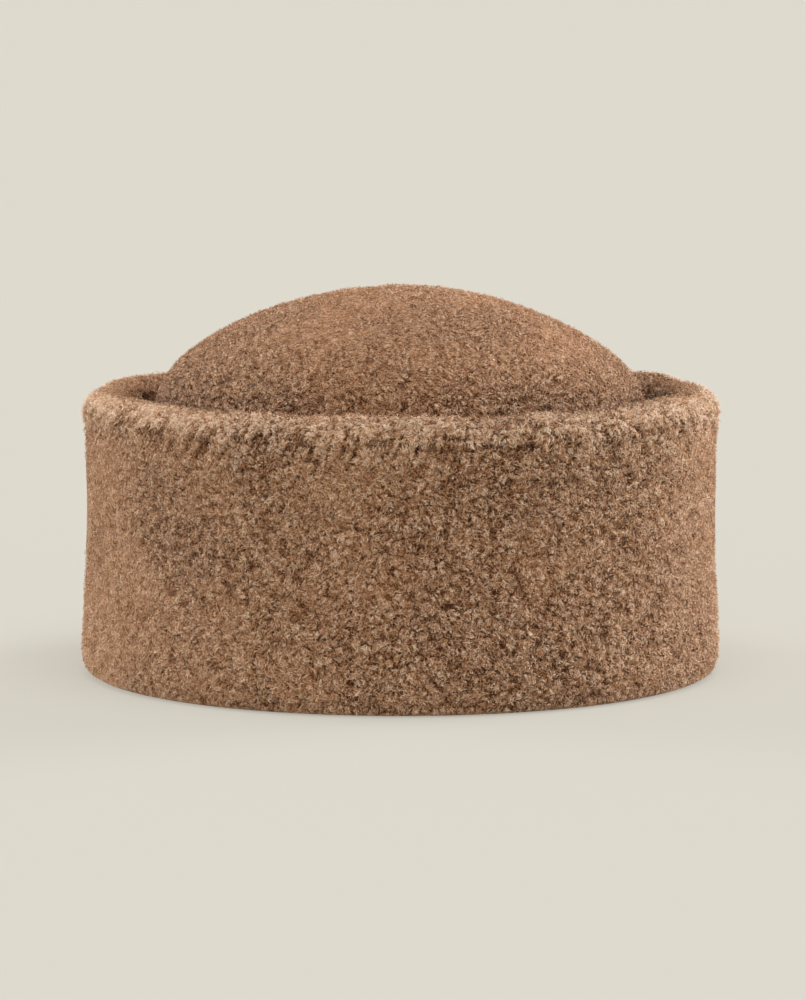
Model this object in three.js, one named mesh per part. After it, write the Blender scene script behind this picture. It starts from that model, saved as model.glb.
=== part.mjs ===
// A teddy hat: a soft domed crown inside a wide cuff that is turned up all the way round.
// Millimetres, +Z up, the front towards -Y. The origin is on the surface that the hat stands on, in the
// middle of the head opening.
//
// Each layer of plush is one closed solid. Its section is drawn as a path in the XZ plane, turned on a
// lathe, and the round ring is then drawn out front to back into the oval of a head. The outer faces are
// where the tips of the pile end.
import * as THREE from "three";

// Head opening, at the inner face of the crown: 566 mm round, for a head of 56 to 57 cm.
const OPENING_WIDTH = 176;
const OPENING_DEPTH = 184;

// Crown
const CROWN_HEIGHT = 152;
const DOME_HEIGHT = 61.5; // the arched part, above the upright wall
const CROWN_WALL = 9.5; // backing and pile together

// Cuff
const CUFF_HEIGHT = 113;
const CUFF_CLOTH = 9; // one layer, backing and pile together
const CUFF_STANDS_OFF = 8; // open gap between the crown and the cuff
const BASE_FLARE = 2.2; // how much further out the cuff is just above its bottom fold than at the rim
const WAIST_DRAW = 0.6; // how much further in it is half-way up than at the rim
const ROLL_DEPTH = 11; // from the top of the rim down to the seam outside
const SEAM_GROOVE = 2; // depth of the notch that the two rounded cloth edges make at the seam
const FOOT_THICKNESS = 8; // the cloth pressed flat under the hat
const FOLD_RADIUS = 7; // outside, where the cloth turns from the foot into the cuff
const CLEARANCE = 0.3; // between layers that touch

// Where the waist and the widest place of the cuff are, as shares of its height.
const WAIST_UP = 0.54;
const WIDEST_UP = 0.12;
const LEANING_UP = 0.5; // the facing lies against the outer panel above this
const ROLL_ARCH = 0.77; // the round over the top of the rim, as a share of the roll's depth

// The arch of the crown from its upright wall to its top: shares of its half width and of the dome height.
const DOME_ARCH = [
  { out: 1.0, up: 0.0 },
  { out: 0.998, up: 0.255 },
  { out: 0.953, up: 0.432 },
  { out: 0.876, up: 0.558 },
  { out: 0.757, up: 0.687 },
  { out: 0.597, up: 0.813 },
  { out: 0.477, up: 0.877 },
  { out: 0.341, up: 0.94 },
  { out: 0.18, up: 0.983 },
  { out: 0.0, up: 1.0 },
];

// Soft dents in the top of the crown. Turn is in degrees from the right (+X) towards the back (+Y). Reach
// and spread are shares of the crown's half width, and sink is a share of its wall.
const CROWN_DENTS = [
  { place: "front right", turn: -58, reach: 0.58, sink: 0.32, spread: 0.24 },
  { place: "front left", turn: -138, reach: 0.42, sink: 0.26, spread: 0.2 },
  { place: "right shoulder", turn: -10, reach: 0.86, sink: 0.42, spread: 0.22 },
  { place: "back left", turn: 118, reach: 0.56, sink: 0.24, spread: 0.26 },
  { place: "back right", turn: 38, reach: 0.6, sink: 0.2, spread: 0.24 },
];

// Slow waves of the turned-up cuff. Sway moves the rim in and out and lift moves it up and down, both as
// shares of the cloth; start is in degrees.
const CUFF_WAVES = [
  { lobes: 1, sway: 0, lift: 0.06, start: -90 },
  { lobes: 3, sway: 0.06, lift: 0.03, start: 40 },
  { lobes: 5, sway: 0.05, lift: 0.05, start: 110 },
  { lobes: 11, sway: 0.03, lift: 0.03, start: 15 },
];

// Puckers where the seam draws the cloth in, in and out and up and down as above.
const SEAM_PUCKERS = [
  { lobes: 13, sway: 0.06, lift: 0.06, start: 70 },
  { lobes: 20, sway: 0.08, lift: 0.05, start: 200 },
];

// How finely the faces follow the curves.
const CROWN_STEPS = 56; // round the crown
const ARCH_STEPS = 11; // up the arch of the crown
const CUFF_STEPS = 80; // round the cuff
const CUFF_LINE_STEPS = 6; // up the cuff
const BEND_STEPS = 3; // along each bend of the cloth

const openingRadius = OPENING_WIDTH / 2;
const crownRadius = openingRadius + CROWN_WALL;
const rollInside = crownRadius + CUFF_STANDS_OFF;
const rimRadius = rollInside + 2 * CUFF_CLOTH + CLEARANCE;
const baseRadius = rimRadius + BASE_FLARE;
const waistRadius = rimRadius - WAIST_DRAW;
const drawnOut = (OPENING_DEPTH - OPENING_WIDTH) / 2; // the extra half depth of the oval

const seatHeight = FOOT_THICKNESS + CLEARANCE; // what stands on the foot starts here
const seamHeight = CUFF_HEIGHT - ROLL_DEPTH;
const springHeight = CROWN_HEIGHT - DOME_HEIGHT;

const plush = (name, colour) => {
  const material = new THREE.MeshStandardMaterial({ color: colour, roughness: 0.95, metalness: 0 });
  material.name = name;
  return material;
};

// The outer line of the cuff from its widest place up to the seam, moved inwards by a depth.
function cuffLine(depth) {
  const line = new THREE.SplineCurve([
    new THREE.Vector2(baseRadius - depth, WIDEST_UP * CUFF_HEIGHT),
    new THREE.Vector2((baseRadius + waistRadius) / 2 - depth, ((WIDEST_UP + WAIST_UP) * CUFF_HEIGHT) / 2),
    new THREE.Vector2(waistRadius - depth, WAIST_UP * CUFF_HEIGHT),
    new THREE.Vector2(rimRadius - depth, seamHeight - SEAM_GROOVE),
  ]);
  return line.getPoints(CUFF_LINE_STEPS);
}

// The outer panel: from the head opening, flat under the hat, round the fold and up to the seam.
function outerPanelSection() {
  const lip = FOOT_THICKNESS / 2;
  const inside = baseRadius - CUFF_CLOTH;
  const path = new THREE.Path();
  path.moveTo(openingRadius + lip, 0);
  path.lineTo(baseRadius - FOLD_RADIUS, 0);
  path.absarc(baseRadius - FOLD_RADIUS, FOLD_RADIUS, FOLD_RADIUS, -Math.PI / 2, 0, false);
  cuffLine(0).forEach((p) => path.lineTo(p.x, p.y));
  path.quadraticCurveTo(rimRadius, seamHeight, rimRadius - SEAM_GROOVE, seamHeight);
  path.lineTo(rimRadius - CUFF_CLOTH, seamHeight);
  const behind = cuffLine(CUFF_CLOTH).reverse();
  behind.forEach((p) => path.lineTo(p.x, p.y));
  path.quadraticCurveTo(inside, FOOT_THICKNESS, inside - FOLD_RADIUS / 2, FOOT_THICKNESS);
  path.lineTo(openingRadius + lip, FOOT_THICKNESS);
  path.absarc(openingRadius + lip, lip, lip, Math.PI / 2, (3 * Math.PI) / 2, false);
  return path;
}

// The facing: from its seat beside the crown, out to the outer panel, up it and over the rim to the seam.
function facingSection() {
  const rollMiddle = (rollInside + rimRadius) / 2;
  const rollHalf = (rimRadius - rollInside) / 2;
  const rollRise = ROLL_ARCH * ROLL_DEPTH;
  const rollFoot = CUFF_HEIGHT - rollRise;
  const seat = crownRadius + CLEARANCE;
  const underside = seamHeight + CLEARANCE;
  const leans = (p) => p.y > LEANING_UP * CUFF_HEIGHT;
  const front = cuffLine(2 * CUFF_CLOTH + CLEARANCE).filter(leans);
  const back = cuffLine(CUFF_CLOTH + CLEARANCE).reverse();
  const lean = front[0];
  const leanBack = lean.x + CUFF_CLOTH;
  const seatBack = seat + CUFF_CLOTH;
  const bendHeight = (seatHeight + lean.y) / 2;
  const path = new THREE.Path();
  path.moveTo(seat, seatHeight);
  path.bezierCurveTo(seat, bendHeight, lean.x, bendHeight, lean.x, lean.y);
  front.forEach((p) => path.lineTo(p.x, p.y));
  path.lineTo(rollInside, rollFoot);
  path.absellipse(rollMiddle, rollFoot, rollHalf, rollRise, Math.PI, 0, true, 0);
  path.quadraticCurveTo(rimRadius, underside, rimRadius - SEAM_GROOVE, underside);
  path.lineTo(back[0].x, underside);
  back.filter(leans).forEach((p) => path.lineTo(p.x, p.y));
  path.bezierCurveTo(leanBack, bendHeight, seatBack, bendHeight, seatBack, seatHeight);
  return path;
}

// The crown: the domed outside, the rim that stands on the foot, and the hollow for the head.
function crownSection() {
  const arch = new THREE.SplineCurve(
    DOME_ARCH.map((row) => new THREE.Vector2(row.out * crownRadius, springHeight + row.up * DOME_HEIGHT)),
  );
  const outside = [];
  const inside = [];
  for (let i = 0; i <= ARCH_STEPS; i++) {
    const along = arch.getTangent(i / ARCH_STEPS);
    const point = arch.getPoint(i / ARCH_STEPS);
    outside.push(point);
    inside.push(new THREE.Vector2(point.x - CROWN_WALL * along.y, point.y + CROWN_WALL * along.x));
  }
  outside[0].set(crownRadius, springHeight);
  inside[0].set(openingRadius, springHeight);
  outside[ARCH_STEPS].set(0, CROWN_HEIGHT);
  inside[ARCH_STEPS].set(0, CROWN_HEIGHT - CROWN_WALL);
  const rim = [new THREE.Vector2(openingRadius, seatHeight), new THREE.Vector2(crownRadius, seatHeight)];
  return [...inside.reverse(), ...rim, ...outside];
}

// Turns a section on a lathe, stands it up on Z and gives every corner to a function that moves it.
function turned(points, steps, move) {
  const geometry = new THREE.LatheGeometry(points, steps);
  geometry.rotateX(Math.PI / 2);
  const places = geometry.getAttribute("position");
  const corner = new THREE.Vector3();
  for (let i = 0; i < places.count; i++) {
    corner.fromBufferAttribute(places, i);
    move(corner);
    places.setXYZ(i, corner.x, corner.y, corner.z);
  }
  geometry.computeVertexNormals();
  return geometry;
}

// A path's points, without those that fall on top of each other, closed on itself and anticlockwise.
function ring(path) {
  const apart = (a, b) => a.distanceTo(b) > CLEARANCE / 3;
  const points = path.getPoints(BEND_STEPS).filter((p, i, all) => i === 0 || apart(p, all[i - 1]));
  if (!apart(points[0], points.at(-1))) points.pop();
  points.push(points[0].clone());
  return THREE.ShapeUtils.isClockWise(points) ? points.reverse() : points;
}

// Draws the circle out into the oval: inside the head opening in proportion, outside it by an equal width.
function drawOut(corner) {
  const radius = Math.hypot(corner.x, corner.y);
  const extra = drawnOut * Math.min(1, radius / openingRadius);
  if (radius > 0) corner.y *= (radius + extra) / radius;
}

const smooth = (share) => {
  const t = THREE.MathUtils.clamp(share, 0, 1);
  return t * t * (3 - 2 * t);
};

function sumOfWaves(rows, angle, column) {
  return rows.reduce(
    (sum, row) => sum + row[column] * Math.cos(row.lobes * angle + THREE.MathUtils.degToRad(row.start)),
    0,
  );
}

function shapeCrown(corner) {
  const above = smooth((corner.z - springHeight) / DOME_HEIGHT);
  let sunk = 0;
  for (const dent of CROWN_DENTS) {
    const turn = THREE.MathUtils.degToRad(dent.turn);
    const dx = corner.x / crownRadius - dent.reach * Math.cos(turn);
    const dy = corner.y / crownRadius - dent.reach * Math.sin(turn);
    sunk += dent.sink * CROWN_WALL * Math.exp(-(dx * dx + dy * dy) / dent.spread ** 2);
  }
  drawOut(corner);
  corner.z -= above * sunk;
}

function shapeCuff(corner) {
  const angle = Math.atan2(corner.y, corner.x);
  const radius = Math.hypot(corner.x, corner.y);
  const loose = smooth((corner.z - FOOT_THICKNESS) / (seamHeight - FOOT_THICKNESS));
  const outward = smooth((radius - rimRadius + CUFF_CLOTH) / CUFF_CLOTH);
  const nearSeam = outward * Math.exp(-(((corner.z - seamHeight) / ROLL_DEPTH) ** 2));
  const waves = (column) => sumOfWaves(CUFF_WAVES, angle, column);
  const puckers = (column) => sumOfWaves(SEAM_PUCKERS, angle, column);
  const sway = loose * waves("sway") + nearSeam * puckers("sway");
  const lift = loose * (waves("lift") + puckers("lift"));
  const grown = (radius + sway * CUFF_CLOTH) / radius;
  corner.x *= grown;
  corner.y *= grown;
  corner.z += lift * CUFF_CLOTH;
  drawOut(corner);
}

function layer(name, geometry, material) {
  const mesh = new THREE.Mesh(geometry, material);
  mesh.name = name;
  return mesh;
}

const tanPlush = plush("tan plush", 0xa57e5f);

const hat = new THREE.Group();
hat.name = "teddy_hat";
hat.add(
  layer("crown", turned(crownSection(), CROWN_STEPS, shapeCrown), tanPlush),
  layer("cuff_outer", turned(ring(outerPanelSection()), CUFF_STEPS, shapeCuff), tanPlush),
  layer("cuff_facing", turned(ring(facingSection()), CUFF_STEPS, shapeCuff), tanPlush),
);

export default hat;
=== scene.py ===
# %% [markdown]
# A teddy hat with a deep turned-up cuff
# This notebook dresses the plain solids of a plush hat in their real finish. The real hat is sewn from
# one cloth, a woollen pile on a knitted backing, sheared to about 4 mm, which clings together in small
# soft tufts. The solids give the shape and the size. Here they get the backing, then the pile that grows
# from it, and then a floor, a light and a camera to see them by.

import bmesh
import bpy
import numpy as np
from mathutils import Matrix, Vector


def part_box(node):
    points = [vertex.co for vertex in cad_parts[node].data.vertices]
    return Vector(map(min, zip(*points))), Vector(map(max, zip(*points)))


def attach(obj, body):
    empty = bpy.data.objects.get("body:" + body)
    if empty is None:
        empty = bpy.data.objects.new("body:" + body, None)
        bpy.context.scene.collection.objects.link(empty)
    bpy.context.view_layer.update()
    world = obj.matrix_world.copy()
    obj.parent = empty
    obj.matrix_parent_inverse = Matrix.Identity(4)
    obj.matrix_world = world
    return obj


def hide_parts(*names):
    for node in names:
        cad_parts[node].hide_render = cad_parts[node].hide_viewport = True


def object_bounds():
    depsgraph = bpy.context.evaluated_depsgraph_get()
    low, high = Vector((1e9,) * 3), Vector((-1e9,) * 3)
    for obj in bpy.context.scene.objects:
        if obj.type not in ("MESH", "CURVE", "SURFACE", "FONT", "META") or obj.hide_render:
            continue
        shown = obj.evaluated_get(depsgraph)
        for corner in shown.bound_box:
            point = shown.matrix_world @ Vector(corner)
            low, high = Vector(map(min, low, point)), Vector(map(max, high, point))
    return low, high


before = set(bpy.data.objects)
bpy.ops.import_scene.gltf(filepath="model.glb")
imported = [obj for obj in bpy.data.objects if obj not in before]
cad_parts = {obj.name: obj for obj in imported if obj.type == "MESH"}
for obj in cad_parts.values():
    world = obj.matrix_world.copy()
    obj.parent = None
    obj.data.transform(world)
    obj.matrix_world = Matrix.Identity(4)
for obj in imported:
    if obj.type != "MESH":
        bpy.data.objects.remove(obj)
cad_box = [list(corner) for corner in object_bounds()]
print("nodes:", sorted(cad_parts))
print("size in mm:", [round(1000 * (high - low)) for low, high in zip(*cad_box)])

# %% [markdown]
# Helpers
# Blender works in metres, and cloth is measured in millimetres. Colours are picked as sRGB hex values, but
# a shader wants them linear, so one function turns them. Another adds a node, sets it and links it, because
# every tree below, of geometry or of a material, is built the same way. The nodes that come up most often,
# for noise and for the parts of a vector, have a short form of their own.

# %% Units, colours and nodes
MM = 0.001


def linear(hex_colour):
    """Turns an sRGB hex colour into the linear values that a shader takes."""
    shares = [int(hex_colour[i : i + 2], 16) / 255 for i in (1, 3, 5)]
    return [s / 12.92 if s <= 0.04045 else ((s + 0.055) / 1.055) ** 2.4 for s in shares] + [1.0]


def add_node(tree, kind, settings=None, inputs=None):
    """Adds a node, sets its properties, and fills each input with a value or a link."""
    node = tree.nodes.new(kind)
    for name, value in (settings or {}).items():
        setattr(node, name, value)
    for name, value in (inputs or {}).items():
        if isinstance(value, bpy.types.NodeSocket):
            tree.links.new(value, node.inputs[name])
        else:
            node.inputs[name].default_value = value
    return node


def noise_at(tree, place, size, detail=2.0):
    """Adds soft noise whose clouds have the given size, and gives its outputs Fac and Color."""
    inputs = {"Vector": place, "Scale": 1 / size, "Detail": detail}
    return add_node(tree, "ShaderNodeTexNoise", inputs=inputs).outputs


def split(tree, vector):
    """Gives the parts X, Y and Z of a vector."""
    return add_node(tree, "ShaderNodeSeparateXYZ", inputs={"Vector": vector}).outputs


def joined(tree, **parts):
    """Makes a vector from the parts X, Y and Z, where one that isn't given is zero."""
    return add_node(tree, "ShaderNodeCombineXYZ", inputs=parts).outputs["Vector"]


def add_object(name, data):
    """Puts a mesh, a lamp or a camera into the scene as an object."""
    piece = bpy.data.objects.new(name, data)
    bpy.context.scene.collection.objects.link(piece)
    return piece


def smooth_step(low, high, value):
    """Goes softly from 0 at low to 1 at high."""
    share = np.clip((value - low) / (high - low), 0, 1)
    return share * share * (3 - 2 * share)


print("mid brown of the pile:", [round(v, 3) for v in linear("#a68062")[:3]])

# %% [markdown]
# The camera
# The hat was photographed from a little above its middle, through a long lens, so that its cuff looks
# almost straight. The camera stands 2 m away and looks 6.5 degrees down, and its lens is set by the width
# of the hat in the picture. The frame is taller than it is wide, so the sensor is measured by its height.

# %% Camera
CAMERA_DISTANCE = 2.0
CAMERA_DOWN = np.radians(6.5)
CAMERA_AIM = Vector((1.0, 0.0, 66.7)) * MM
LENS = 183.0
SENSOR_HEIGHT = 36.0

camera_data = bpy.data.cameras.new("camera")
camera_data.sensor_fit = "VERTICAL"
camera_data.sensor_height = SENSOR_HEIGHT
camera_data.lens = LENS
camera = add_object("camera", camera_data)
back_to_camera = Vector((0, -np.cos(CAMERA_DOWN), np.sin(CAMERA_DOWN)))
camera.location = CAMERA_AIM + CAMERA_DISTANCE * back_to_camera
camera.rotation_euler = back_to_camera.to_track_quat("Z", "Y").to_euler()
bpy.context.scene.camera = camera
print("camera at", [round(v, 3) for v in camera.location])

# %% [markdown]
# The cloth of each piece
# Teddy cloth is a knitted backing with a dense woollen pile. Sheared wool doesn't stand evenly: its fibres
# curl, the curls close up into soft nubs about 3 mm across, and thin dark clefts stay between them. So the
# pile is made in two layers. Its body is the solid's own face, cut fine and raised in nubs, and loose
# fibres then grow from that. In the hollow for the head and between two layers the face shows the knit and
# stays as it is, and under the hat its pile is pressed flat. A rule on each point's place and normal says
# which is which, and it is kept on the mesh as an attribute.

# %% Rules for the pile
TRENCH_DEPTH = 32 * MM  # how far down beside the crown the pile is raised
TRENCH_EDGE = 5 * MM
FOOT_HEIGHT = 20 * MM  # below this, a face that looks down is pressed on the floor
UNDER_SEAM = 2 * MM  # the facing's rim starts this far under the highest place of the seam
HEAD_MIDDLE = np.array([0, 0, 60]) * MM
TINY = 0.001 * MM
# Each rule below turns from none to all while a face turns the way that the rule names, from -1 to 1.
CROWN_TURN = (0.0, 0.3)
SEWN_EDGE_TURN = (-0.6, -0.3)
PANEL_TURN = (-0.3, 0.2)
FACING_TURN = (0.0, 0.4)
PRESSED_TURN = (-0.85, -0.55)

cuff_low, cuff_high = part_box("cuff_facing")
rim_top = cuff_high[2]
cuff_inside = min(cuff_high[0], -cuff_low[0])
seam_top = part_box("cuff_outer")[1][2]


def outwards(points, normals):
    """How far a point faces away from the hat's upright axis, from -1 to 1."""
    around = points[:, :2] / np.maximum(np.linalg.norm(points[:, :2], axis=1), TINY)[:, None]
    return (normals[:, :2] * around).sum(axis=1)


def crown_rule(points, normals):
    """On the crown, all that faces away from the middle of the head, but for the sewn lower edge."""
    away = points - HEAD_MIDDLE
    away /= np.linalg.norm(away, axis=1)[:, None]
    outside = smooth_step(*CROWN_TURN, (normals * away).sum(axis=1))
    return outside * smooth_step(*SEWN_EDGE_TURN, normals[:, 2])


def panel_rule(points, normals):
    """On the cuff's outer panel, its outside and the fold under the hat."""
    return smooth_step(*PANEL_TURN, outwards(points, normals))


def facing_rule(points, normals):
    """On the facing, its rounded rim and the side that looks at the crown."""
    on_rim = points[:, 2] > seam_top - UNDER_SEAM
    return smooth_step(*FACING_TURN, np.where(on_rim, 1.0, -outwards(points, normals)))


def raised(points, normals):
    """Where wool is free to rise: not deep beside the crown, and not pressed on the floor."""
    deepest = rim_top - TRENCH_DEPTH
    beside_crown = np.linalg.norm(points[:, :2], axis=1) < cuff_inside
    deep = beside_crown * (1 - smooth_step(deepest, deepest + TRENCH_EDGE, points[:, 2]))
    pressed = (points[:, 2] < FOOT_HEIGHT) * (1 - smooth_step(*PRESSED_TURN, normals[:, 2]))
    return (1 - deep) * (1 - pressed)


print("rim at", round(rim_top / MM, 1), "mm, seam at", round(seam_top / MM, 1), "mm")

# %% [markdown]
# The line of the seam
# The seam that joins the cuff's two layers isn't level: the stitches draw the cloth up and down. The top of
# the outer panel follows it, so its highest corner at each place round the hat gives the seam's height
# there, and each point of the cuff then knows how far above or below the seam it lies.

# %% Seam line
GROOVE = 2.0 * MM  # depth of the notch between the two rounded edges
STITCH_PULL = 1.0 * MM  # how far the stitches pull each edge to the other
SEAM_BAND = 4 * MM  # the seam wanders within this band
SEAM_TURN = (0.0, 0.5)  # how far a face looks outwards, from not beside the seam to beside it
LEVEL_TURN = (0.0, 0.3)  # the same for the pile that stands level

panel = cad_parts["cuff_outer"].data
corners = np.empty(3 * len(panel.vertices))
panel.vertices.foreach_get("co", corners)
corners = corners.reshape(-1, 3)
corners = corners[corners[:, 2] > seam_top - SEAM_BAND]
turns = np.round(np.arctan2(corners[:, 1], corners[:, 0]), 3)
seam_turns = np.unique(turns)
seam_heights = np.array([corners[turns == turn, 2].max() for turn in seam_turns])


def above_seam(points):
    """How far each point lies above the seam, in metres."""
    turn = np.arctan2(points[:, 1], points[:, 0])
    return points[:, 2] - np.interp(turn, seam_turns, seam_heights, period=2 * np.pi)


def by_groove(points):
    """Fades out from 1 at the seam to 0 at twice the groove's depth from it."""
    return 1 - smooth_step(GROOVE, 2 * GROOVE, np.abs(above_seam(points)))


def groove_fill(points, normals, closes):
    """How a point on a rounded edge has to move, outwards and to the other edge, to close the groove."""
    around = points / np.linalg.norm(points[:, :2], axis=1)[:, None]
    around[:, 2] = closes * STITCH_PULL / GROOVE
    inwards = 1 - np.clip(outwards(points, normals), 0, 1)
    return around * (GROOVE * inwards * by_groove(points))[:, None]


def pile_stands(points, normals):
    """The way that the pile stands: along the normal, but level on the rounded edges at the seam."""
    level = by_groove(points) * smooth_step(*LEVEL_TURN, outwards(points, normals))
    stand = normals.copy()
    stand[:, 2] *= 1 - level
    return stand / np.linalg.norm(stand, axis=1)[:, None]


print("the seam wanders over", round(np.ptp(seam_heights) / MM, 1), "mm")

# %% [markdown]
# Cutting the faces fine
# A nub needs two or three points across, so the faces that carry pile are cut until no edge is longer than
# 1.9 mm. The rest of the cloth keeps its large faces, since all of it would be several million. The solids
# come as loose triangles, which are joined to quads first, because those round off evenly.

# %% Fine mesh
FINE_EDGE = 1.9 * MM
WELD = 0.01 * MM
FLAT_ENOUGH = np.radians(40)
BARE = 0.1  # an edge whose two ends have less pile than this in all stays as it is


def as_plain_mesh(piece, name):
    """Takes what an object's modifiers make of it as a mesh of its own, and takes them away."""
    bpy.context.view_layer.update()
    seen = piece.evaluated_get(bpy.context.evaluated_depsgraph_get())
    mesh = bpy.data.meshes.new_from_object(seen)
    mesh.name = name
    piece.modifiers.clear()
    piece.data = mesh
    return mesh


def rounded_copy(node, name):
    """Copies a solid, joins its loose triangles to quads and rounds them once."""
    work = bmesh.new()
    work.from_mesh(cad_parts[node].data)
    bmesh.ops.remove_doubles(work, verts=work.verts, dist=WELD)
    bmesh.ops.join_triangles(
        work, faces=work.faces, angle_face_threshold=FLAT_ENOUGH, angle_shape_threshold=FLAT_ENOUGH
    )
    mesh = bpy.data.meshes.new(name)
    work.to_mesh(mesh)
    work.free()
    piece = add_object(name, mesh)
    rounded = piece.modifiers.new("rounded", "SUBSURF")
    rounded.levels = 1
    rounded.render_levels = 1
    as_plain_mesh(piece, name)
    piece.data.materials.clear()
    piece.data.shade_smooth()
    return piece


def numbers(mesh, attribute):
    """Reads one number for each point of a mesh."""
    values = np.empty(len(mesh.vertices))
    mesh.attributes[attribute].data.foreach_get("value", values)
    return values


def keep_numbers(mesh, attribute, values):
    """Writes one number for each point on a mesh."""
    mesh.attributes.new(attribute, "FLOAT", "POINT").data.foreach_set("value", values)


def places_and_normals(mesh):
    """Gives the places and the normals of a mesh's points."""
    points = np.empty(3 * len(mesh.vertices))
    normals = np.empty(3 * len(mesh.vertices))
    mesh.vertices.foreach_get("co", points)
    mesh.vertex_normals.foreach_get("vector", normals)
    return points.reshape(-1, 3), normals.reshape(-1, 3)


def keep_vectors(mesh, attribute, values):
    """Writes one vector for each point on a mesh."""
    mesh.attributes.new(attribute, "FLOAT_VECTOR", "POINT").data.foreach_set("vector", values.ravel())


def mark_wool(mesh, rule):
    """Writes where the face is wool, and where that wool is raised."""
    points, normals = places_and_normals(mesh)
    wool = rule(points, normals)
    keep_numbers(mesh, "wool", wool)
    keep_numbers(mesh, "pile", wool * raised(points, normals))


def cut_fine(piece):
    """Halves the edges under the pile until none is longer than FINE_EDGE."""
    work = bmesh.new()
    work.from_mesh(piece.data)
    pile = work.verts.layers.float["pile"]
    while True:
        long_edges = [
            edge
            for edge in work.edges
            if edge.verts[0][pile] + edge.verts[1][pile] > BARE and edge.calc_length() > FINE_EDGE
        ]
        if not long_edges:
            break
        bmesh.ops.subdivide_edges(work, edges=long_edges, cuts=1, use_grid_fill=True)
    work.to_mesh(piece.data)
    work.free()


CLOTHS = {
    "crown_cloth": {"node": "crown", "rule": crown_rule, "closes": 0},
    "cuff_cloth": {"node": "cuff_outer", "rule": panel_rule, "closes": 1},
    "rim_cloth": {"node": "cuff_facing", "rule": facing_rule, "closes": -1},
}
cloths = {}
for name, plan in CLOTHS.items():
    cloth = rounded_copy(plan["node"], name)
    mark_wool(cloth.data, plan["rule"])
    cut_fine(cloth)
    points, normals = places_and_normals(cloth.data)
    keep_numbers(cloth.data, "above_seam", above_seam(points))
    has_seam = abs(plan["closes"])
    beside_seam = has_seam * smooth_step(*SEAM_TURN, outwards(points, normals))
    keep_numbers(cloth.data, "has_seam", beside_seam)
    keep_vectors(cloth.data, "groove_fill", has_seam * groove_fill(points, normals, plan["closes"]))
    keep_vectors(cloth.data, "stand", pile_stands(points, normals) if has_seam else normals)
    keep_vectors(cloth.data, "rest", points)
    cloths[name] = cloth
    print(name, len(cloth.data.polygons), "faces")

# %% [markdown]
# The pattern of the nubs
# One pattern gives the relief, the colours and the places of the fibres, so one function builds its nodes,
# and both a geometry tree and a material call it. A cellular texture gives each point the middle of its nub
# and its distance from the nearest cleft. It is bent by two noises, because even cells look like a
# honeycomb. The curls are the thin lines where a finer noise crosses its own middle value; the materials
# give them a bump and paint them bright, as a highlight. Some places have been stroked smooth and some
# stand in slanting furrows, as the nap falls to either side of the front. The smooth places, which widen
# towards both sides and the top of the crown, are painted lighter, as sheen, and the furrows are painted a
# little darker, as shade. Beside the seam the cloth is drawn into creases, and here and there the pile
# stands open over the stitches, or in tufts that reach across them. The clefts, the creases and the
# openings over the stitches are sunk and also painted darker, as shade. Each part of the hat also gets a
# tone of its own that is painted light and shade: the rim is painted lightest, as a highlight, and the
# crown a little darker, as shade.

# %% Pattern
NUB_SIZE = 2.9 * MM
NUB_DEPTH = 2.0 * MM
PIT_SIZE = 4.0 * MM
CLEFT_SHARE = 0.5  # a closed cleft is this deep beside an open one
DOME_END = 0.36  # how far in from a cleft a nub goes on rising, in cells
UNEVENNESS = 0.9  # of the places of the nubs, where 0 is a grid
BEND_SIZE = 9 * MM
BEND = 5 * MM
RAGGED_SIZE = 1.6 * MM
RAGGED = 0.9 * MM
CURL_SIZE = 1.15 * MM
CURL_REACH = 0.09  # how far from its middle value the noise still makes a curl
PATCH_SIZE = 45 * MM
PATCH_NUBS = (0.8, 1.15)  # how deep the nubs are, from the smoothest patch to the roughest
NUBS_TO_RIGHT = 0.15  # how much deeper they are at the right side than in the middle
SIDE_FADE = (0.7, 0.98)  # they get shallower between these shares of the way to either side,
NUBS_LOST_AT_SIDE = 0.25  # by this much
CROWN_NUBS = (0.1, -0.35)  # what the crown adds, from the height of the rim to its top
LEAST_NUBS = 0.55  # how deep the nubs still are where the pile has been stroked smoothest
FURROW_WIDTH = 4.5 * MM
FURROW_STRETCH = 0.28  # a furrow is this much slower along its length than across
FURROW_SLANT = 0.8
FURROW_TURNS_AT = 0.55  # left of this the furrows slant up to the right, and right of it to the left
STITCH_GAP = 13 * MM  # from one opening over the stitches to the next
GAP_REACH = 1.3 * MM
TUFT_SIZE = 6 * MM
TUFT_REACH = 3 * MM
CROSS_REACH = 1 * MM
# The cuff and the rim are painted lighter and the crown darker, as light and shade; the rim's painted
# highlight rises over this height above the seam.
RIM_HIGHLIGHT_RISES_OVER = 5 * MM
CROWN_PAINTED_SHADE = -0.05  # painted shade: the whole crown is a little darker
ON_CUFF = 0.1
RIM_PAINTED_HIGHLIGHT = 0.26  # painted highlight: the rim is the lightest part
CREASE_WIDTH = 9 * MM
CREASE_REACH = 8 * MM
CREASE_EDGE = 0.05  # a crease lies where its noise is this close to its middle value
CREASE_DEPTH = 0.8  # beside the depth of a nub's cleft
MIDDLE = 0.5  # of a noise
HALF = (MIDDLE,) * 3
# Each noise turns from one thing to the other between two of its values, around its middle.
PATCH_RANGE = (0.35, 0.65)
FURROW_RANGE = (0.36, 0.64)
GAP_RANGE = (0.52, 0.6)
TUFT_RANGE = (0.4, 0.6)
PIT_RANGE = (0.54, 0.42)

hat_width = cad_box[1][0] - cad_box[0][0]
crown_top = cad_box[1][2]


def maths(tree):
    """Gives the two short forms, for vectors and for numbers, that formulas in a tree are written in."""

    def fill(values):
        return {name: value for name, value in values.items() if value is not None}

    def vector(operation, first, second=None, third=None, scale=None):
        inputs = fill({0: first, 1: second, 2: third, "Scale": scale})
        return add_node(tree, "ShaderNodeVectorMath", {"operation": operation}, inputs).outputs["Vector"]

    def number(operation, first, second=None, third=None):
        inputs = fill({0: first, 1: second, 2: third})
        return add_node(tree, "ShaderNodeMath", {"operation": operation}, inputs).outputs[0]

    return vector, number


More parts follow.
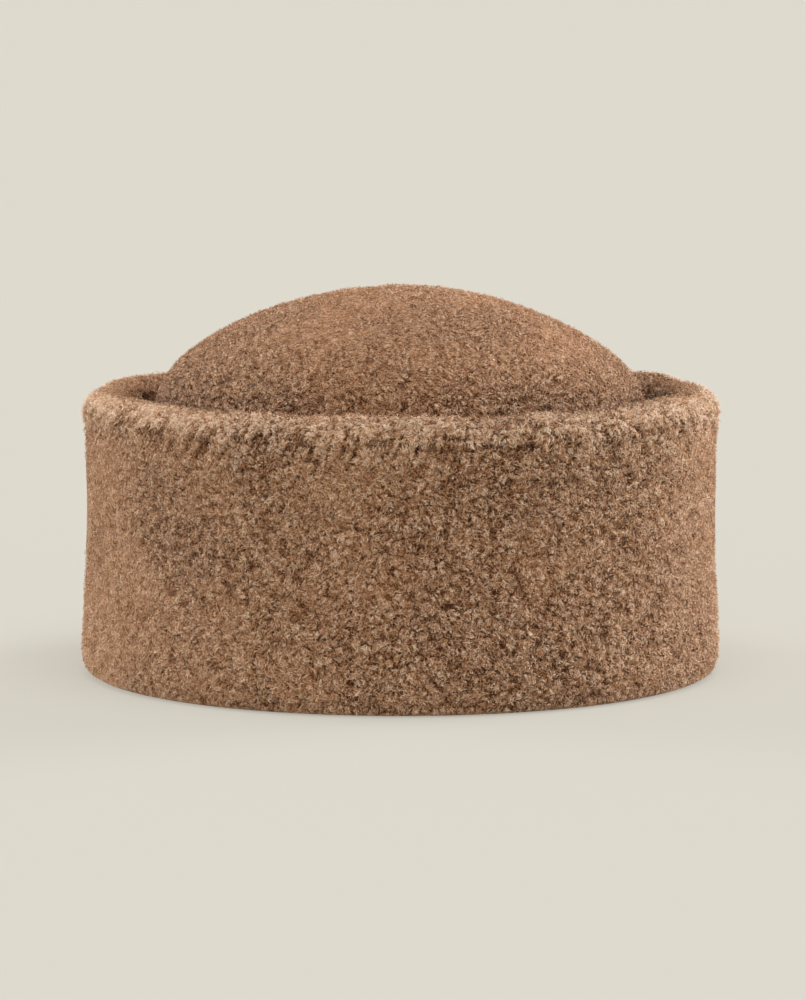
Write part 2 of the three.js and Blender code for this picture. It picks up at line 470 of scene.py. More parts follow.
def nub_pattern(tree, place, above, has_seam, cells_per_metre):
    """Adds the nodes of the pattern at a place on the cloth, and gives what they know of it."""
    vector, number = maths(tree)

    def noise(size, at=place, detail=2.0):
        return noise_at(tree, at, size, detail)

    def between(value, low, high, to_low=0.0, to_high=1.0):
        inputs = {"Value": value, "From Min": low, "From Max": high, "To Min": to_low, "To Max": to_high}
        return add_node(tree, "ShaderNodeMapRange", inputs=inputs).outputs["Result"]

    def near(distance, reach):
        share = number("DIVIDE", distance, reach)
        return number("EXPONENT", number("MULTIPLY", number("MULTIPLY", share, share), -1.0))

    def product(first, second, third):
        return number("MULTIPLY", number("MULTIPLY", first, second), third)

    bent = vector("MULTIPLY_ADD", vector("SUBTRACT", noise(BEND_SIZE)["Color"], HALF), (BEND,) * 3, place)
    ragged = vector("SUBTRACT", noise(RAGGED_SIZE)["Color"], HALF)
    bent = vector("MULTIPLY_ADD", ragged, (RAGGED,) * 3, bent)
    cells = {"Vector": bent, "Scale": cells_per_metre, "Randomness": UNEVENNESS}
    nub = add_node(tree, "ShaderNodeTexVoronoi", {"feature": "F1"}, cells).outputs
    edge = add_node(tree, "ShaderNodeTexVoronoi", {"feature": "DISTANCE_TO_EDGE"}, cells).outputs
    cleft = number("POWER", between(edge["Distance"], 0.0, DOME_END, 1.0, 0.0), 2.0)
    from_middle = vector("SCALE", vector("SUBTRACT", bent, nub["Position"]), scale=cells_per_metre)

    parts = split(tree, place)
    to_right = number("DIVIDE", parts["X"], hat_width / 2)
    to_side = number("ABSOLUTE", to_right)
    patch = noise(PATCH_SIZE, detail=1.0)
    nubs = between(patch["Fac"], *PATCH_RANGE, *PATCH_NUBS)
    nubs = number("MULTIPLY_ADD", to_right, NUBS_TO_RIGHT, nubs)
    nubs = number("SUBTRACT", nubs, between(to_side, *SIDE_FADE, 0.0, NUBS_LOST_AT_SIDE))
    up_the_crown = between(parts["Z"], rim_top, crown_top, *CROWN_NUBS)
    nubs = number("ADD", nubs, number("MULTIPLY", up_the_crown, number("SUBTRACT", 1.0, has_seam)))
    nubs = number("MAXIMUM", nubs, LEAST_NUBS)

    slant = number("MULTIPLY", number("SUBTRACT", to_right, FURROW_TURNS_AT), 2 * FURROW_SLANT / hat_width)
    twist = number("MULTIPLY", parts["Z"], slant)
    turned = add_node(
        tree, "ShaderNodeVectorRotate", {"rotation_type": "Z_AXIS"}, {"Vector": place, "Angle": twist}
    ).outputs["Vector"]
    slow = vector("MULTIPLY", turned, (1.0, 1.0, FURROW_STRETCH))
    furrow = between(noise(FURROW_WIDTH, slow)["Fac"], *FURROW_RANGE)

    gap = between(noise(STITCH_GAP, detail=1.0)["Fac"], *GAP_RANGE)
    gap = product(gap, near(above, GAP_REACH), has_seam)
    by_tuft = near(above, TUFT_REACH)
    tuft = between(noise(TUFT_SIZE, detail=1.0)["Fac"], *TUFT_RANGE)
    tuft = product(tuft, by_tuft, has_seam)
    to_seam = between(above, -CROSS_REACH, CROSS_REACH, 1.0, -1.0)
    by_seam = number("MULTIPLY", near(above, CREASE_REACH), has_seam)
    crease = number("ABSOLUTE", number("SUBTRACT", noise(CREASE_WIDTH, slow)["Fac"], MIDDLE))
    crease = number("MULTIPLY", between(crease, 0.0, CREASE_EDGE, 1.0, 0.0), by_seam)

    curl = number("ABSOLUTE", number("SUBTRACT", noise(CURL_SIZE, bent)["Fac"], MIDDLE))
    pit = between(noise(PIT_SIZE, detail=3.0)["Fac"], *PIT_RANGE, CLEFT_SHARE, 1.0)
    hollow = product(cleft, pit, nubs)
    # painted highlight: from the cuff's tone up to the rim's over the seam
    painted_cuff_and_rim_light = between(above, 0.0, RIM_HIGHLIGHT_RISES_OVER, ON_CUFF, RIM_PAINTED_HIGHLIGHT)
    # hollow also paints shade, curl paints highlight, smooth paints sheen, and part paints the light and
    # shade of each part of the hat.
    return {
        "hollow": number("MAXIMUM", number("MULTIPLY_ADD", crease, CREASE_DEPTH, hollow), gap),
        "curl": number("MULTIPLY", between(curl, 0.0, CURL_REACH, 1.0, 0.0), nubs),
        "furrow": furrow,
        "by_seam": by_seam,
        "gap": gap,
        "tuft": tuft,
        "smooth": number("SUBTRACT", 1.0, nubs),
        "part": number("MULTIPLY_ADD", painted_cuff_and_rim_light, has_seam, CROWN_PAINTED_SHADE),
        "over_seam": number("MULTIPLY", to_seam, by_tuft),
        "own": split(tree, nub["Color"])["Y"],
        "tilt": vector("SUBTRACT", nub["Color"], HALF),
        "from_middle": from_middle,
        "patch": vector("SUBTRACT", patch["Color"], HALF),
    }


print("nubs", NUB_SIZE / MM, "mm wide, curls", CURL_SIZE / MM, "mm apart")

# %% [markdown]
# Raising the nubs
# A tree of Geometry Nodes moves each point of the cloth the way that its pile stands. Where the point was
# before is kept on the mesh, because the materials and the fibres ask the pattern about that place, and not
# about the raised one. At the seam the pile bulges out in uneven lumps, and it fills the groove between the
# two rounded edges everywhere but at its gaps.

# %% Relief
LOOSE_HEIGHT = 0.5 * MM  # the nubs stay this far under the solid's face, for the loose fibres
LUMP_SIZE = 7 * MM
LUMP_HEIGHT = 1.5 * MM
FURROW_DEPTH = 0.5 * MM

RELIEF_INPUTS = {
    "Cells per metre": "Float",
    "Nub depth": "Float",
    "Loose height": "Float",
    "Lump height": "Float",
}
relief_sizes = {
    "Cells per metre": 1 / NUB_SIZE,
    "Nub depth": NUB_DEPTH,
    "Loose height": LOOSE_HEIGHT,
    "Lump height": LUMP_HEIGHT,
}


def set_inputs(piece, tree, values, modifier_name):
    """Adds a Geometry Nodes modifier and sets its inputs by the identifiers of their sockets."""
    modifier = piece.modifiers.new(modifier_name, "NODES")
    modifier.node_group = tree
    for socket in tree.interface.items_tree:
        if socket.in_out == "INPUT" and socket.name in values:
            modifier[socket.identifier] = values[socket.name]


def new_tree(name, inputs):
    """Starts a geometry tree with a mesh in, a mesh out and named inputs for its sizes."""
    tree = bpy.data.node_groups.new(name, "GeometryNodeTree")
    tree.interface.new_socket("Geometry", in_out="INPUT", socket_type="NodeSocketGeometry")
    tree.interface.new_socket("Geometry", in_out="OUTPUT", socket_type="NodeSocketGeometry")
    for socket_name, kind in inputs.items():
        tree.interface.new_socket(socket_name, in_out="INPUT", socket_type="NodeSocket" + kind)
    return tree


def keeper(tree):
    """Gives the two short forms that read an attribute of the mesh and write one."""

    def kept(name, kind="FLOAT"):
        node = add_node(tree, "GeometryNodeInputNamedAttribute", {"data_type": kind}, {"Name": name})
        return node.outputs["Attribute"]

    def keep(geometry, name, value, kind="FLOAT", domain="POINT"):
        settings = {"data_type": kind, "domain": domain}
        inputs = {"Geometry": geometry, "Name": name, "Value": value}
        return add_node(tree, "GeometryNodeStoreNamedAttribute", settings, inputs).outputs["Geometry"]

    return kept, keep


def moved_to(tree, geometry, position):
    """Moves each point of a geometry to a place of its own."""
    inputs = {"Geometry": geometry, "Position": position}
    return add_node(tree, "GeometryNodeSetPosition", inputs=inputs).outputs["Geometry"]


def relief(tree, given):
    """Adds the nodes that say how a point of the pile moves, and gives that with the pattern."""
    vector, number = maths(tree)
    kept = keeper(tree)[0]
    place = kept("rest", "FLOAT_VECTOR")
    above = kept("above_seam")
    pattern = nub_pattern(tree, place, above, kept("has_seam"), given["Cells per metre"])
    lumps = noise_at(tree, place, LUMP_SIZE)["Fac"]
    lump = number("MULTIPLY", number("MULTIPLY", given["Lump height"], pattern["by_seam"]), lumps)
    dent = number("MULTIPLY", given["Nub depth"], pattern["hollow"])
    dent = number("MULTIPLY_ADD", number("SUBTRACT", 1.0, pattern["furrow"]), FURROW_DEPTH, dent)
    rise = number("SUBTRACT", number("SUBTRACT", lump, given["Loose height"]), dent)
    closed = number("SUBTRACT", 1.0, pattern["gap"])
    moved = vector("SCALE", kept("stand", "FLOAT_VECTOR"), scale=rise)
    moved = vector("ADD", moved, vector("SCALE", kept("groove_fill", "FLOAT_VECTOR"), scale=closed))
    moved = vector("SCALE", moved, scale=kept("pile"))
    return vector("ADD", place, moved), pattern


def relief_tree():
    """Raises each point of the cloth."""
    tree = new_tree("nubs", RELIEF_INPUTS)
    given = add_node(tree, "NodeGroupInput").outputs
    high = relief(tree, given)[0]
    add_node(tree, "NodeGroupOutput", inputs={"Geometry": moved_to(tree, given["Geometry"], high)})
    return tree


relief_nodes = relief_tree()
print("tree of the relief:", len(relief_nodes.nodes), "nodes")

# %% [markdown]
# The raised cloth
# The three cloths run through the tree, and what it makes of each is kept as a plain mesh, so that the
# fibres can be sown on it. The fibres come in a front and a back half, and the mesh notes which is which.

# %% Raise the nubs
for name, cloth in cloths.items():
    set_inputs(cloth, relief_nodes, relief_sizes, "nubs")
    mesh = as_plain_mesh(cloth, name)
    in_front = places_and_normals(mesh)[0][:, 1] < 0
    pile = numbers(mesh, "pile")
    for half, side in (("front", in_front), ("back", ~in_front)):
        keep_numbers(mesh, "pile_" + half, pile * side)
    print(name, "is", round(sum(len(face.vertices) - 2 for face in mesh.polygons) / 1000), "k triangles")

# %% [markdown]
# The finish of the cloth
# Two finishes meet on each piece. Where it has no pile it shows the backing, a polyester knit whose
# stitches are far too fine to see, so a small noise gives its fluff. The body of the pile is wool. It is
# painted nearly umber in the clefts and between the curls, as shade, and light on the curls themselves, as
# a highlight where their cut ends catch the light. Its bump follows the same curls, and a finer speckle
# stands for single fibres.

# %% Knitted backing and wool
FLUFF = 0.6 * MM
CLOUDS = 14 * MM
SPECKLE = 0.5 * MM
CURL_HEIGHT = 0.5 * MM
FLUFF_SHARE = 0.6  # of the backing's unevenness, the rest is clouds
CLEFT_BUMP = -2.0  # beside the height of a curl
BACKING_BELOW = 0.3  # a face with less wool than this shows its backing
BACKING_DARK = "#7d5c44"
BACKING_LIGHT = "#a37c5e"
# The darkest colour below is painted shade in the clefts, and the palest a painted highlight on the curls.
CLEFT_SHADE_COLOUR = "#4e2810"
BODY_COLOUR = "#a97750"
CURL_HIGHLIGHT_COLOUR = "#f0d3b8"
SHEEN_COLOUR = "#f0cbab"
BODY_LIGHT = 0.25  # before the pattern's parts are added
# How much lighter each part of the pattern makes the body, or darker: the hollows as painted shade, the
# curls as painted highlight, the smooth places as painted sheen, and part as the painted light and shade of
# each part of the hat
BODY_TONE_AND_PAINTED_LIGHT = {"hollow": -0.65, "curl": 0.65, "own": 0.15, "by_seam": 0.15, "smooth": 0.22, "part": 1.0}
SPECKLE_LIGHTENS = 0.8


def new_material(name):
    """Starts a material with an empty tree, and gives both."""
    material = bpy.data.materials.new(name)
    material.use_nodes = True
    material.node_tree.nodes.clear()
    return material, material.node_tree


def ramp(tree, value, stops):
    """Adds a colour ramp with the given stops."""
    node = add_node(tree, "ShaderNodeValToRGB", inputs={"Fac": value})
    elements = node.color_ramp.elements
    while len(elements) < len(stops):
        elements.new(0.5)
    for element, (position, colour) in zip(elements, stops):
        element.position = position
        element.color = linear(colour)
    return node.outputs["Color"]


def summed(number, pattern, weights, start):
    """Adds up parts of the pattern by their weights, from a first value on."""
    total = start
    for part, weight in weights.items():
        total = number("MULTIPLY_ADD", pattern[part], weight, total)
    return total


def bump(tree, height, strength, distance):
    """Gives the normal of a face with small heights that aren't in the mesh."""
    inputs = {"Height": height, "Strength": strength, "Distance": distance}
    return add_node(tree, "ShaderNodeBump", inputs=inputs).outputs["Normal"]


def finish_with(tree, inputs):
    """Ends a material in one Principled shader."""
    shader = add_node(tree, "ShaderNodeBsdfPrincipled", inputs=inputs)
    add_node(tree, "ShaderNodeOutputMaterial", inputs={"Surface": shader.outputs["BSDF"]})


def knitted_backing():
    """Polyester knit with short fluff on it, dull and a little uneven in colour."""
    material, tree = new_material("knitted polyester backing")
    number = maths(tree)[1]
    place = add_node(tree, "ShaderNodeTexCoord").outputs["Object"]
    fluff = noise_at(tree, place, FLUFF, 3.0)["Fac"]
    clouds = number("MULTIPLY", noise_at(tree, place, CLOUDS)["Fac"], 1 - FLUFF_SHARE)
    blend = number("MULTIPLY_ADD", fluff, FLUFF_SHARE, clouds)
    finish_with(
        tree,
        {
            "Base Color": ramp(tree, blend, [(0.3, BACKING_DARK), (0.7, BACKING_LIGHT)]),
            "Normal": bump(tree, fluff, 0.6, FLUFF),
            "Roughness": 0.95,
            "Sheen Weight": 0.3,
            "Sheen Roughness": 0.5,
        },
    )
    return material


def wool_body():
    """The close body of the pile: umber clefts painted as shade, brown nubs and pale curls painted as
    highlight, with a fine speckle.
    """
    material, tree = new_material("sheared wool, body of the pile")
    number = maths(tree)[1]

    def kept(name, output="Fac"):
        return add_node(tree, "ShaderNodeAttribute", {"attribute_name": name}).outputs[output]

    place = kept("rest", "Vector")
    pattern = nub_pattern(tree, place, kept("above_seam"), kept("has_seam"), 1 / NUB_SIZE)
    speckle = number("SUBTRACT", noise_at(tree, place, SPECKLE)["Fac"], MIDDLE)
    # painted shade in the hollows, painted highlight on the curls, painted sheen on the smooth places and
    # painted light and shade on each part
    light = summed(number, pattern, BODY_TONE_AND_PAINTED_LIGHT, BODY_LIGHT)
    light = number("MULTIPLY_ADD", speckle, SPECKLE_LIGHTENS, light)
    height = number("MULTIPLY_ADD", pattern["hollow"], CLEFT_BUMP, pattern["curl"])
    finish_with(
        tree,
        {
            "Base Color": ramp(tree, light, [(0.0, CLEFT_SHADE_COLOUR), (0.45, BODY_COLOUR), (1.0, CURL_HIGHLIGHT_COLOUR)]),
            "Normal": bump(tree, height, 1.0, CURL_HEIGHT),
            "Roughness": 0.85,
            "Specular IOR Level": 0.2,
            "Sheen Weight": 0.5,
            "Sheen Roughness": 0.3,
            "Sheen Tint": linear(SHEEN_COLOUR),
        },
    )
    return material


body_finish = wool_body()
backing_finish = knitted_backing()
for cloth in cloths.values():
    mesh = cloth.data
    mesh.materials.append(body_finish)
    mesh.materials.append(backing_finish)
    wool = numbers(mesh, "wool")
    for face in mesh.polygons:
        face.material_index = int(wool[list(face.vertices)].mean() < BACKING_BELOW)
print("finishes:", body_finish.name, "and", backing_finish.name)

# %% [markdown]
# One fibre
# Hundreds of thousands of fibres have to stay cheap, so one fibre is two triangles: a narrow leaf, widest
# at its middle, with its upper half bent over as wool curls. It is one unit long and one unit wide, and
# the nodes give it its real size. Its front looks away from the side that it bends to, so that a fibre
# that leans over shows its front to someone who looks at the hat. Its UV map runs from root to tip along
# V, and U is left free to hold each fibre's own tone, so that one small map can colour them all.

# %% Fibre
MIDDLE_OUT = 0.15
MIDDLE_UP = 0.55
CURL_OUT = 0.6
TIP_UP = 0.85


def one_fibre():
    """A leaf of two triangles, bent over at its middle, with its UV map."""
    work = bmesh.new()
    root = work.verts.new((0, 0, 0))
    left = work.verts.new((-0.5, MIDDLE_OUT, MIDDLE_UP))
    right = work.verts.new((0.5, MIDDLE_OUT, MIDDLE_UP))
    tip = work.verts.new((0, CURL_OUT, TIP_UP))
    layer = work.loops.layers.uv.new("OFBake")
    along = {root: (0.5, 0.0), left: (0.0, 0.5), right: (1.0, 0.5), tip: (0.5, 1.0)}
    for corners in ((root, right, left), (left, right, tip)):
        face = work.faces.new(corners)
        for loop in face.loops:
            loop[layer].uv = along[loop.vert]
    mesh = bpy.data.meshes.new("fibre")
    work.to_mesh(mesh)
    work.free()
    return bpy.data.objects.new("fibre", mesh)


fibre = one_fibre()
print("one fibre:", len(fibre.data.polygons), "triangles")

# %% [markdown]
# The loose fibres
# Geometry Nodes sow points over the cloth, most of them on the curls, and grow a fibre from each. A root
# stands at the exact height that the pattern gives there. The fibre fans out from the middle of its nub,
# bends with its neighbours in one curl, and leans with its patch, as cloth looks that a hand has stroked.
# Lit one by one, such small leaves would glitter, so each takes most of its shading from the dome of its
# nub, by a normal of its own. Over the seam the fibres are longer and lean across it from both sides.
# Everything random has a fixed seed, so that the hat is the same each time.

# %% Tree of the fibres
FIBRE_LENGTH = 1.2 * MM
FIBRE_WIDTH = 0.2 * MM
BUNDLE_SIZE = 1.1 * MM  # fibres this close together bend the same way
BARE_SHARE = 0.85  # of the fibres that don't stand in the deepest clefts
FLOOR_GAP = 0.2 * MM
MAP_WIDTH = 0.02  # the width of one fibre on its UV map
SHORTEST = 0.7  # the shortest fibre, as a share of FIBRE_LENGTH
LENGTH_SPREAD = 0.6  # how much more the longest one has, as another share of it
LENGTH_SEED = 40.0
CLEFT_SEED = 80.0
FIBRE_TONE = 0.19  # of the darkest fibre, before the pattern's parts are added
TONE_SPREAD = 0.22  # between two fibres that stand side by side
# How much lighter each part of the pattern makes a fibre, or darker: the hollows and the furrows as painted
# shade, the curls as painted highlight, the smooth places as painted sheen, and part as the painted light
# and shade of each part of the hat
FIBRE_TONE_AND_PAINTED_LIGHT = {
    "curl": 0.6,
    "by_seam": 0.15,
    "own": 0.15,
    "furrow": 0.1,
    "smooth": 0.22,
    "part": 1.0,
    "hollow": -0.7,
}

FIBRE_INPUTS = {
    **RELIEF_INPUTS,
    "Where": "String",
    "Fibre": "Object",
    "Fibres per m2": "Float",
    "Length": "Float",
    "Tufts longer": "Float",
    "Crossing": "Float",
    "Width": "Float",
    "Fan": "Float",
    "Nub tilt": "Float",
    "Patch lean": "Float",
    "Bundle": "Float",
    "Frizz": "Float",
    "Roundness": "Float",
    "Softness": "Float",
    "Seed": "Int",
    "Finish": "Material",
}


def fibre_tree():
    """Sows points on the nubs, grows a fibre from each and gives it its tone and its normal."""
    tree = new_tree("loose fibres", FIBRE_INPUTS)
    vector, number = maths(tree)
    kept, keep = keeper(tree)
    given = add_node(tree, "NodeGroupInput").outputs
    high, pattern = relief(tree, given)
    place = kept("rest", "FLOAT_VECTOR")
    stand = kept("stand", "FLOAT_VECTOR")

    sown = add_node(
        tree,
        "GeometryNodeDistributePointsOnFaces",
        {"distribute_method": "RANDOM"},
        {
            "Mesh": given["Geometry"],
            "Density": number("MULTIPLY", given["Fibres per m2"], kept(given["Where"])),
            "Seed": given["Seed"],
        },
    ).outputs["Points"]
    open_cleft = add_node(
        tree,
        "FunctionNodeRandomValue",
        {"data_type": "BOOLEAN"},
        {
            "Probability": number("MULTIPLY", pattern["hollow"], BARE_SHARE),
            "Seed": number("ADD", given["Seed"], CLEFT_SEED),
        },
    ).outputs["Value"]
    bundle = noise_at(tree, place, BUNDLE_SIZE, 0.0)["Color"]
    loose = add_node(
        tree,
        "FunctionNodeRandomValue",
        {"data_type": "FLOAT_VECTOR"},
        {"Min": (-1,) * 3, "Max": (1,) * 3, "Seed": given["Seed"]},
    ).outputs["Value"]
    lean = vector("SCALE", pattern["tilt"], scale=given["Nub tilt"])
    lean = vector("MULTIPLY_ADD", pattern["patch"], given["Patch lean"], lean)
    lean = vector("MULTIPLY_ADD", vector("SUBTRACT", bundle, HALF), given["Bundle"], lean)
    lean = vector("MULTIPLY_ADD", loose, given["Frizz"], lean)
    lean = vector("MULTIPLY_ADD", pattern["from_middle"], given["Fan"], lean)
    crossing = number("MULTIPLY", pattern["over_seam"], kept("has_seam"))
    crossing = number("MULTIPLY", crossing, given["Crossing"])
    lean = vector("ADD", lean, joined(tree, Z=crossing))
    direction = vector("NORMALIZE", vector("ADD", stand, lean))
    turned = add_node(
        tree,
        "FunctionNodeAxesToRotation",
        {"primary_axis": "Z", "secondary_axis": "Y"},
        {"Primary Axis": direction, "Secondary Axis": lean},
    )
    length_seed = number("ADD", given["Seed"], LENGTH_SEED)
    some = add_node(
        tree, "FunctionNodeRandomValue", {"data_type": "FLOAT"}, {"Seed": length_seed}
    ).outputs[1]
    longer = number("MULTIPLY_ADD", pattern["tuft"], given["Tufts longer"], 1.0)
    length = number("MULTIPLY", given["Length"], longer)
    length = number("MULTIPLY", length, number("MULTIPLY_ADD", some, LENGTH_SPREAD, SHORTEST))
    size = joined(tree, X=given["Width"], Y=length, Z=length)

    own_tone = number("MULTIPLY_ADD", some, TONE_SPREAD, FIBRE_TONE)
    # painted shade in the hollows and furrows, painted highlight on the curls, painted sheen on the smooth
    # places and painted light and shade on each part
    tone = summed(number, pattern, FIBRE_TONE_AND_PAINTED_LIGHT, own_tone)
    dome = vector("NORMALIZE", vector("MULTIPLY_ADD", pattern["from_middle"], given["Roundness"], stand))
    points = keep(sown, "tone", number("MAXIMUM", tone, 0.0))
    points = keep(points, "open_cleft", open_cleft, "BOOLEAN")
    points = keep(points, "soft_normal", dome, "FLOAT_VECTOR")
    points = keep(points, "direction", direction, "FLOAT_VECTOR")
    points = keep(points, "size", size, "FLOAT_VECTOR")
    points = keep(points, "turn", turned.outputs["Rotation"], "QUATERNION")
    thinned = add_node(
        tree,
        "GeometryNodeDeleteGeometry",
        {"domain": "POINT"},
        {"Geometry": points, "Selection": kept("open_cleft", "BOOLEAN")},
    )
    leaf = add_node(tree, "GeometryNodeObjectInfo", inputs={"Object": given["Fibre"]})
    grown = add_node(
        tree,
        "GeometryNodeInstanceOnPoints",
        inputs={
            "Points": moved_to(tree, thinned.outputs["Geometry"], high),
            "Instance": leaf.outputs["Geometry"],
            "Rotation": kept("turn", "QUATERNION"),
            "Scale": kept("size", "FLOAT_VECTOR"),
        },
    )
    real = add_node(tree, "GeometryNodeRealizeInstances", inputs={"Geometry": grown.outputs["Instances"]})

    parts = split(tree, add_node(tree, "GeometryNodeInputPosition").outputs["Position"])
    above_floor = number("MAXIMUM", parts["Z"], FLOOR_GAP)
    on_floor = joined(tree, X=parts["X"], Y=parts["Y"], Z=above_floor)
    stood = moved_to(tree, real.outputs["Geometry"], on_floor)
    on_map = split(tree, kept("OFBake", "FLOAT_VECTOR"))
    across = number("MULTIPLY_ADD", on_map["X"], MAP_WIDTH, kept("tone"))
    new_map = joined(tree, X=across, Y=on_map["Y"])
    mapped = keep(stood, "OFBake", new_map, "FLOAT2", "CORNER")
    own_normal = add_node(tree, "GeometryNodeInputNormal").outputs["Normal"]
    soft = vector("SCALE", kept("soft_normal", "FLOAT_VECTOR"), scale=given["Softness"])
    shaded = add_node(
        tree,
        "GeometryNodeSetMeshNormal",
        {"mode": "FREE", "domain": "POINT"},
        {"Mesh": mapped, "Custom Normal": vector("NORMALIZE", vector("ADD", own_normal, soft))},
    )
    dressed = {"Geometry": shaded.outputs["Mesh"], "Material": given["Finish"]}
    finished = add_node(tree, "GeometryNodeSetMaterial", inputs=dressed).outputs["Geometry"]
    add_node(tree, "NodeGroupOutput", inputs={"Geometry": finished})
    return tree


fibre_nodes = fibre_tree()
print("tree of the fibres:", len(fibre_nodes.nodes), "nodes")

# %% [markdown]
# The colour of the loose fibres
# Each fibre is painted dark at its root, as shade where light doesn't reach, and paler at its tip, and no
# two took the dye quite alike. The fibre's own UV map holds both: V for root to tip, U for its tone, which
# also carries the pattern's painted shade, painted highlight and painted sheen. Wool is rough and has a
# soft sheen where it is seen edge on, which lightens the outline of the hat together with the painted sheen
# of its smooth sides.

# %% Loose wool
ROOT_COLOUR = "#4e2810"
LOW_COLOUR = "#97653e"
MIDDLE_COLOUR = "#c89870"
TIP_COLOUR = "#f6e0c6"
EDGE_COLOUR = "#f6e3cf"
ROOT_TO_TIP = 0.35  # the share of the colour that comes from the place along a fibre


def loose_wool():
    """Loose wool fibres, matt and warm, with a soft sheen."""
    material, tree = new_material("sheared wool, loose fibres")
    number = maths(tree)[1]
    parts = split(tree, add_node(tree, "ShaderNodeUVMap", {"uv_map": "OFBake"}).outputs["UV"])
    own = number("MULTIPLY", parts["X"], 1 - ROOT_TO_TIP)
    light = number("MULTIPLY_ADD", parts["Y"], ROOT_TO_TIP, own)
    shades = [(0.0, ROOT_COLOUR), (0.32, LOW_COLOUR), (0.6, MIDDLE_COLOUR), (0.9, TIP_COLOUR)]
    finish_with(
        tree,
        {
            "Base Color": ramp(tree, light, shades),
            "Roughness": 0.85,
            "Specular IOR Level": 0.2,
            "Sheen Weight": 1.0,
            "Sheen Roughness": 0.25,
            "Sheen Tint": linear(EDGE_COLOUR),
        },
    )
    return material


loose_finish = loose_wool()
print("loose fibres:", loose_finish.name)

# %% [markdown]
# Growing them
# Each cloth gets its fibres in two halves, front and back, which keeps every piece light enough to handle.
# About a quarter of the sown fibres fall in open clefts, where none grow.

# %% Grow the fibres
PILES = {
    "crown_pile": {"cloth": "crown_cloth", "sown": 64000},
    "cuff_pile": {"cloth": "cuff_cloth", "sown": 120000},
    "rim_pile": {"cloth": "rim_cloth", "sown": 42000},
}
QUICK_SHARE = 1.0
CM2 = 1e-4
fibre_sizes = {
    **relief_sizes,
    "Fibre": fibre,
    "Length": FIBRE_LENGTH,
    "Tufts longer": 1.1,
    "Crossing": 0.9,
    "Width": FIBRE_WIDTH,
    "Fan": 0.5,
    "Nub tilt": 0.5,
    "Patch lean": 0.8,
    "Bundle": 1.6,
    "Frizz": 0.3,
    "Roundness": 1.8,
    "Softness": 1.4,
    "Finish": loose_finish,
}


def piled_area(mesh, attribute):
    """The area that fibres stand on, in square metres."""
    values = numbers(mesh, attribute)
    return sum(face.area * values[list(face.vertices)].mean() for face in mesh.polygons)


def grow(name, cloth, attribute, sown, seed):
    """Grows one half of a cloth's fibres and gives them as a plain mesh."""
    area = piled_area(cloth.data, attribute)
    piece = add_object(name, cloth.data.copy())
    piece.data.materials.clear()
    density = QUICK_SHARE * sown / area
    values = {**fibre_sizes, "Where": attribute, "Fibres per m2": density, "Seed": seed}
    set_inputs(piece, fibre_nodes, values, "fibres")
    mesh = as_plain_mesh(piece, name)
    print(name, len(mesh.polygons), "triangles on", round(area / CM2), "cm2")
    return piece


piles = {}
seed = 1
for name, plan in PILES.items():
    for half in ("front", "back"):
        full_name = f"{name}_{half}"
        piles[full_name] = grow(full_name, cloths[plan["cloth"]], "pile_" + half, plan["sown"], seed)
        seed += 1
bpy.data.objects.remove(fibre)

# %% [markdown]
# Who carries what
# Nothing on a hat moves by a joint, so every piece rides on the one body. Each cloth stands for the solid
# that it was copied from, which is hidden, and its fibres are grown from it. The crown is cut as a straight
# wall and an oval top, so it has less cloth in it than the rectangle that both are laid out on.

for name, cloth in cloths.items():
    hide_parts(CLOTHS[name]["node"])
for name, piece in {**cloths, **piles}.items():
    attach(piece, "root")

# %% [markdown]
# The floor
# The picture has a plain, pale, warm grey ground without an edge, and almost no shadow. A studio gets that
# with a light table: a wide sheet of opal acrylic that is lit from below. So the floor glows a little and
# reflects the rest.

# %% Floor
FLOOR_SIZE = 60.0
TABLE_COLOUR = "#7f7c76"
GLOW_COLOUR = "#dedace"
GLOW = 0.55
FLOOR_CORNERS = [(-1, -1), (1, -1), (1, 1), (-1, 1)]


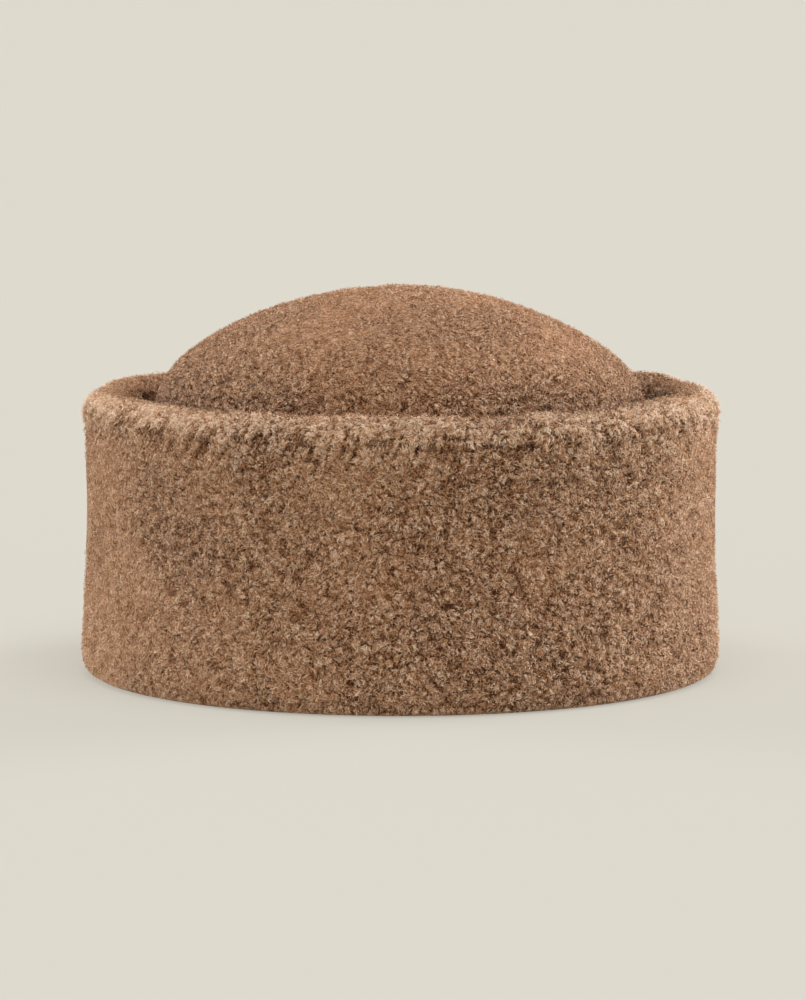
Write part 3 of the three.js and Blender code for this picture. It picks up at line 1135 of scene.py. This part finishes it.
def light_table():
    """Opal acrylic, matt and plain, which glows from below and reflects the lamps from above."""
    material, tree = new_material("matt opal acrylic")
    finish_with(
        tree,
        {
            "Base Color": linear(TABLE_COLOUR),
            "Roughness": 1.0,
            "Specular IOR Level": 0.0,
            "Emission Color": linear(GLOW_COLOUR),
            "Emission Strength": GLOW,
        },
    )
    return material


floor_mesh = bpy.data.meshes.new("floor")
places = [(x * FLOOR_SIZE / 2, y * FLOOR_SIZE / 2, 0) for x, y in FLOOR_CORNERS]
floor_mesh.from_pydata(places, [], [(0, 1, 2, 3)])
floor_mesh.materials.append(light_table())
floor = add_object("floor", floor_mesh)
print("floor:", floor_mesh.materials[0].name)

# %% [markdown]
# The light
# The hat was lit softly from above and in front, and more strongly from both sides behind it, which gives
# its edges their pale line. Each lamp is a sun with a wide disc, which casts a studio light's soft shadow,
# and the sky fills in from all sides. A sun has no distance, so the floor is equally bright all over.

# %% Light
# In degrees: where a lamp stands round the hat from the front, how high it is, and how wide it looks
LAMPS = {
    "top": {"turn": 20, "up": 75, "disc": 50, "strength": 1.85},
    "front": {"turn": 0, "up": 30, "disc": 70, "strength": 0.6},
    "left side": {"turn": -117, "up": 9, "disc": 36, "strength": 2.7},
    "right side": {"turn": 117, "up": 9, "disc": 36, "strength": 4.4},
}
SKY_STRENGTH = 0.52
SKY_COLOUR = "#fffdf8"

for name, plan in LAMPS.items():
    lamp = bpy.data.lights.new(name, "SUN")
    lamp.energy = plan["strength"]
    lamp.angle = np.radians(plan["disc"])
    turn = np.radians(plan["turn"])
    up = np.radians(plan["up"])
    towards = Vector((np.sin(turn) * np.cos(up), -np.cos(turn) * np.cos(up), np.sin(up)))
    stand = add_object(name, lamp)
    stand.rotation_euler = towards.to_track_quat("Z", "Y").to_euler()
sky = bpy.data.worlds.new("sky")
sky.use_nodes = True
background = sky.node_tree.nodes["Background"].inputs
background["Color"].default_value = linear(SKY_COLOUR)
background["Strength"].default_value = SKY_STRENGTH
bpy.context.scene.world = sky
bpy.context.scene.view_settings.view_transform = "Standard"
print("lamps:", len(LAMPS))
